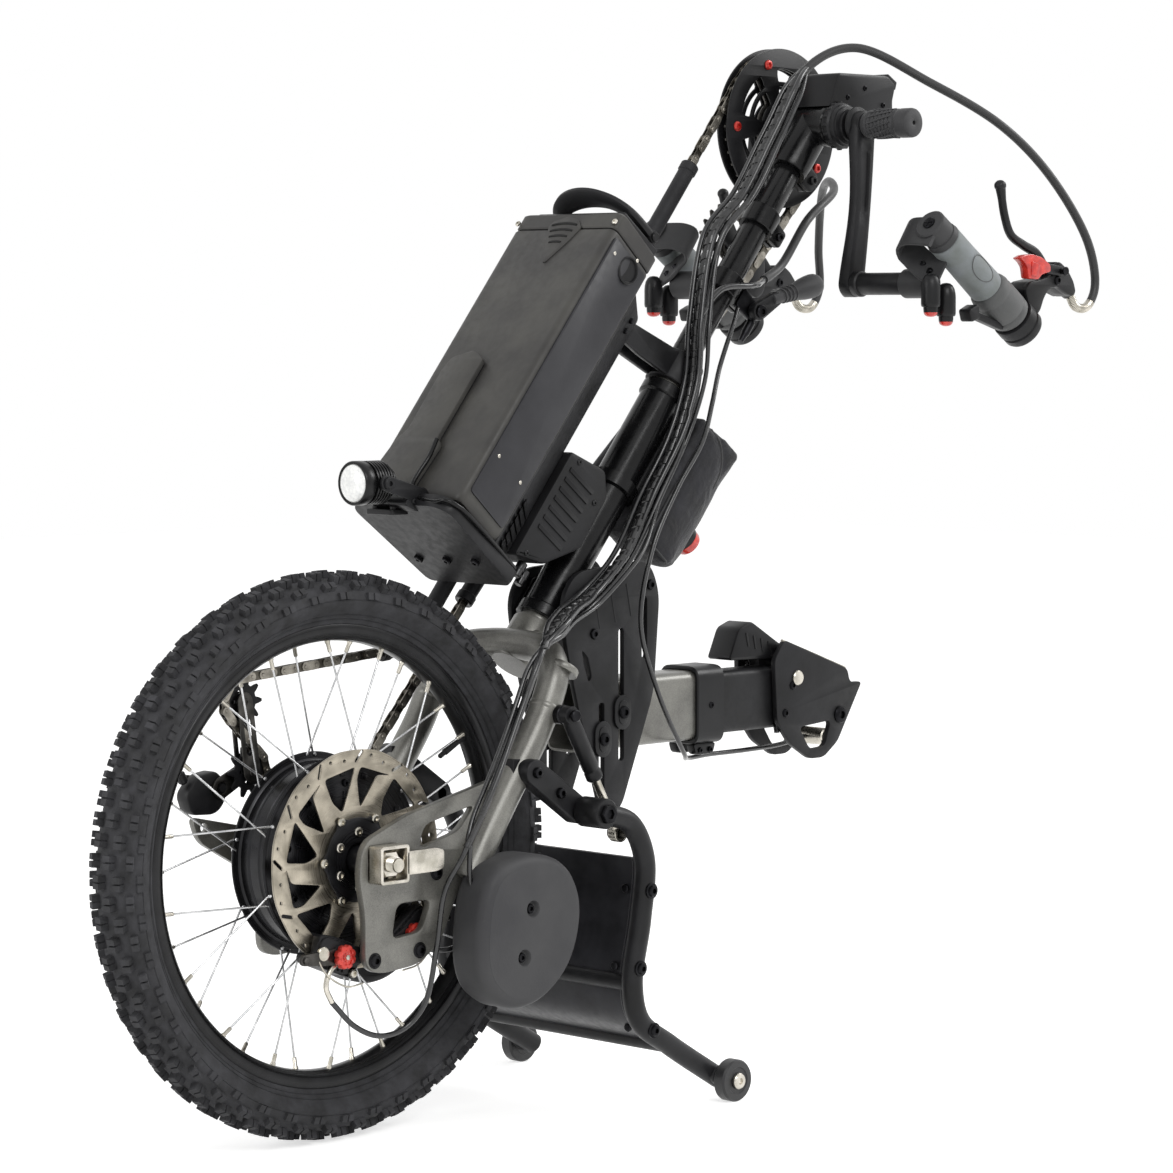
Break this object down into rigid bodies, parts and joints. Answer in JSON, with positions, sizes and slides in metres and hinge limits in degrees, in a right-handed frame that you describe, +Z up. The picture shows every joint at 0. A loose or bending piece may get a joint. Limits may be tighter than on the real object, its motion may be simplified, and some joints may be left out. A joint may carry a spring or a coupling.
{
  "type": "wheelchair handcycle attachment",
  "caption": "Clip-on electric handcycle with a motor wheel, lifted crank handles, battery, docking arm and folding stand.",
  "frame": {"origin": "where the tyre's lowest tread block meets the ground, in the wheel's middle plane", "axes": "+X forward, away from the chair; +Y to the rider's left; +Z up; the wheel's axle is parallel to Y"},
  "size_m": [1.1345, 0.4138, 1.011],
  "materials": {
    "tyre_rubber": "matte blocky rubber tread",
    "frame_grey": "satin gunmetal grey paint",
    "frame_black": "satin black paint",
    "black_plastic": "fine grained moulded plastic",
    "case_plastic": "satin charcoal moulded case",
    "steel": "ground steel",
    "dark_steel": "oiled dark steel",
    "grip_rubber": "soft grey rubber",
    "red_anodised": "glossy red",
    "bag_cloth": "black woven cloth",
    "lamp_lens": "clear lens",
    "cord_cover": "black cable cover"
  },
  "bodies": {
    "fork_and_dock": {"fork": "frame_grey", "dropout_left": "frame_grey", "dropout_right": "frame_grey", "axle": "dark_steel", "ballast_left": "frame_black", "ballast_right": "frame_black", "calliper_front": "frame_black", "calliper_rear": "frame_black", "battery_dock": "black_plastic", "controller_box": "black_plastic", "chain_tube_front": "black_plastic", "chain_tube_rear": "black_plastic", "chain": "steel", "cable_harness": "cord_cover", "release_cable": "cord_cover"},
    "wheel": {"tyre": "tyre_rubber", "rim": "frame_black", "hub_motor": "frame_black", "brake_rotor": "steel"},
    "cassette": {"cassette": "dark_steel"},
    "coupling": {"head_tube": "frame_black", "coupling_plate_left": "frame_black", "coupling_plate_right": "frame_black", "bag": "bag_cloth", "tail_light": "red_anodised", "arm_outer": "frame_grey"},
    "arm": {"arm_inner": "frame_black"},
    "latch": {"latch_lever": "black_plastic"},
    "mast_top": {"mast": "frame_black", "crank_housing": "frame_black", "display": "black_plastic"},
    "crank": {"chainring": "dark_steel", "crank_left": "frame_black", "crank_right": "frame_black"},
    "idler": {"idler": "dark_steel"},
    "release": {"release_lever": "black_plastic"},
    "battery": {"battery_case": "case_plastic"},
    "bail": {"battery_handle": "black_plastic"},
    "lamp": {"headlight": "frame_black", "headlight_lens": "lamp_lens"},
    "handle_left": {"handle_frame_left": "black_plastic", "grip_left": "grip_rubber"},
    "handle_right": {"handle_frame_right": "black_plastic", "grip_right": "grip_rubber"},
    "brake_left": {"brake_lever_left": "frame_black"},
    "brake_right": {"brake_lever_right": "frame_black"},
    "lock": {"parking_lock": "red_anodised"},
    "button_front": {"button_front": "black_plastic"},
    "button_rear": {"button_rear": "black_plastic"},
    "stand": {"stand": "frame_black"},
    "roller_left": {"roller_left": "black_plastic"},
    "roller_right": {"roller_right": "black_plastic"},
    "strut_cylinder": {"strut_cylinder": "frame_black"},
    "strut_rod": {"strut_rod": "steel"},
    "calliper_arm_front": {"calliper_arm_front": "dark_steel"},
    "calliper_arm_rear": {"calliper_arm_rear": "dark_steel"},
    "derailleur": {"derailleur_body": "frame_black"},
    "cage": {"derailleur_cage": "dark_steel"},
    "pulley_upper": {"pulley_upper": "black_plastic"},
    "pulley_lower": {"pulley_lower": "black_plastic"}
  },
  "joints": [
    {"name": "wheel_spin", "type": "hinge", "parent": "fork_and_dock", "child": "wheel", "pos_m": [0, 0, 0.257], "axis": [0, 1, 0], "continuous": true},
    {"name": "cassette_spin", "type": "hinge", "parent": "fork_and_dock", "child": "cassette", "pos_m": [0, -0.045, 0.257], "axis": [0, 1, 0], "continuous": true},
    {"name": "crank_spin", "type": "hinge", "parent": "mast_top", "child": "crank", "pos_m": [-0.652, 0, 0.929], "axis": [0, 1, 0], "continuous": true, "deforming": ["cable_harness"]},
    {"name": "idler_spin", "type": "hinge", "parent": "mast_top", "child": "idler", "pos_m": [-0.58133, -0.048, 0.80995], "axis": [0, 1, 0], "continuous": true},
    {"name": "pulley_upper_spin", "type": "hinge", "parent": "cage", "child": "pulley_upper", "pos_m": [0.049, -0.058, 0.395], "axis": [0, 1, 0], "continuous": true},
    {"name": "pulley_lower_spin", "type": "hinge", "parent": "cage", "child": "pulley_lower", "pos_m": [0.041, -0.058, 0.331], "axis": [0, 1, 0], "continuous": true},
    {"name": "mast_slide", "type": "slide", "parent": "fork_and_dock", "child": "mast_top", "axis": [-0.6293, 0, 0.7771], "range_m": [-0.02, 0.05], "deforming": ["chain", "cable_harness", "release_cable"]},
    {"name": "steering", "type": "hinge", "parent": "fork_and_dock", "child": "coupling", "pos_m": [-0.36881, 0, 0.57928], "axis": [-0.6293, 0, 0.7771], "range_deg": [-25, 25], "deforming": ["cable_harness", "release_cable"]},
    {"name": "arm_slide", "type": "slide", "parent": "coupling", "child": "arm", "axis": [-1, 0, 0], "range_m": [0, 0.06], "deforming": ["release_cable"]},
    {"name": "latch_swing", "type": "hinge", "parent": "arm", "child": "latch", "pos_m": [-0.602, 0, 0.38], "axis": [0, -1, 0], "range_deg": [0, 60]},
    {"name": "battery_slide", "type": "slide", "parent": "fork_and_dock", "child": "battery", "axis": [-0.6293, 0, 0.7771], "range_m": [0, 0.12]},
    {"name": "bail_swing", "type": "hinge", "parent": "battery", "child": "bail", "pos_m": [-0.36614, 0, 0.81435], "axis": [0, -1, 0], "range_deg": [0, 100]},
    {"name": "release_swing", "type": "hinge", "parent": "mast_top", "child": "release", "pos_m": [-0.55407, 0.0165, 0.74451], "axis": [0, 1, 0], "range_deg": [0, 25], "deforming": ["release_cable"]},
    {"name": "handle_left_spin", "type": "hinge", "parent": "crank", "child": "handle_left", "pos_m": [-0.63713, 0.186, 0.7717], "axis": [0, 1, 0], "continuous": true, "deforming": ["cable_harness"]},
    {"name": "handle_right_spin", "type": "hinge", "parent": "crank", "child": "handle_right", "pos_m": [-0.63713, -0.186, 0.7717], "axis": [0, 1, 0], "continuous": true, "deforming": ["cable_harness"]},
    {"name": "brake_left_pull", "type": "hinge", "parent": "handle_left", "child": "brake_left", "pos_m": [-0.7969, 0.186, 0.7755], "axis": [0, 1, 0], "range_deg": [0, 12], "stiffness_Nm_per_rad": 2, "springref_deg": -5.73},
    {"name": "brake_right_pull", "type": "hinge", "parent": "handle_right", "child": "brake_right", "pos_m": [-0.7969, -0.186, 0.7755], "axis": [0, 1, 0], "range_deg": [0, 12], "stiffness_Nm_per_rad": 2, "springref_deg": -5.73},
    {"name": "lock_turn", "type": "hinge", "parent": "handle_left", "child": "lock", "pos_m": [-0.7996, 0.203, 0.7846], "axis": [0, 1, 0], "range_deg": [0, 20]},
    {"name": "button_front_press", "type": "slide", "parent": "handle_left", "child": "button_front", "axis": [0, 0, 1], "range_m": [0, 0.003], "stiffness_N_per_m": 400, "springref_m": -0.002},
    {"name": "button_rear_press", "type": "slide", "parent": "handle_left", "child": "button_rear", "axis": [0, 0, 1], "range_m": [0, 0.003], "stiffness_N_per_m": 400, "springref_m": -0.002},
    {"name": "stand_fold", "type": "hinge", "parent": "fork_and_dock", "child": "stand", "pos_m": [-0.224, 0, 0.286], "axis": [0, 1, 0], "range_deg": [0, 42]},
    {"name": "roller_left_spin", "type": "hinge", "parent": "stand", "child": "roller_left", "pos_m": [-0.383, 0.145, 0.02], "axis": [0, 1, 0], "continuous": true},
    {"name": "roller_right_spin", "type": "hinge", "parent": "stand", "child": "roller_right", "pos_m": [-0.383, -0.145, 0.02], "axis": [0, 1, 0], "continuous": true},
    {"name": "strut_swing", "type": "hinge", "parent": "fork_and_dock", "child": "strut_cylinder", "pos_m": [-0.204, 0.105, 0.376], "axis": [0, 1, 0], "range_deg": [0, 11.88]},
    {"name": "strut_stroke", "type": "slide", "parent": "strut_cylinder", "child": "strut_rod", "axis": [0.4896, 0, 0.872], "range_m": [0, 0.02633]},
    {"name": "calliper_front_pull", "type": "hinge", "parent": "fork_and_dock", "child": "calliper_arm_front", "pos_m": [0.033, 0.057, 0.1754], "axis": [0, -1, 0], "range_deg": [0, 15], "stiffness_Nm_per_rad": 1, "springref_deg": -5.73},
    {"name": "calliper_rear_pull", "type": "hinge", "parent": "fork_and_dock", "child": "calliper_arm_rear", "pos_m": [-0.0517, 0.057, 0.1858], "axis": [0, 1, 0], "range_deg": [0, 15], "stiffness_Nm_per_rad": 1, "springref_deg": -5.73},
    {"name": "derailleur_shift", "type": "slide", "parent": "fork_and_dock", "child": "derailleur", "axis": [0, 1, 0], "range_m": [0, 0.026], "deforming": ["chain"]},
    {"name": "cage_swing", "type": "hinge", "parent": "derailleur", "child": "cage", "pos_m": [0.068, -0.058, 0.318], "axis": [0, 1, 0], "range_deg": [0, 10], "stiffness_Nm_per_rad": 1, "springref_deg": -8.59, "deforming": ["chain"]},
    {"name": "headlight_tilt", "type": "hinge", "parent": "fork_and_dock", "child": "lamp", "pos_m": [-0.055, 0, 0.59], "axis": [0, 1, 0], "range_deg": [-15, 15]}
  ],
  "couplings": [
    {"joint": "cassette_spin", "follows": "crank_spin", "ratio": 2.5714},
    {"joint": "idler_spin", "follows": "crank_spin", "ratio": 1.8},
    {"joint": "pulley_upper_spin", "follows": "crank_spin", "ratio": 3.6},
    {"joint": "pulley_lower_spin", "follows": "crank_spin", "ratio": -3.6},
    {"joint": "strut_swing", "follows": "stand_fold", "ratio": 0.2829},
    {"joint": "strut_stroke", "follows": "stand_fold", "m_per_rad": 0.03592}
  ]
}
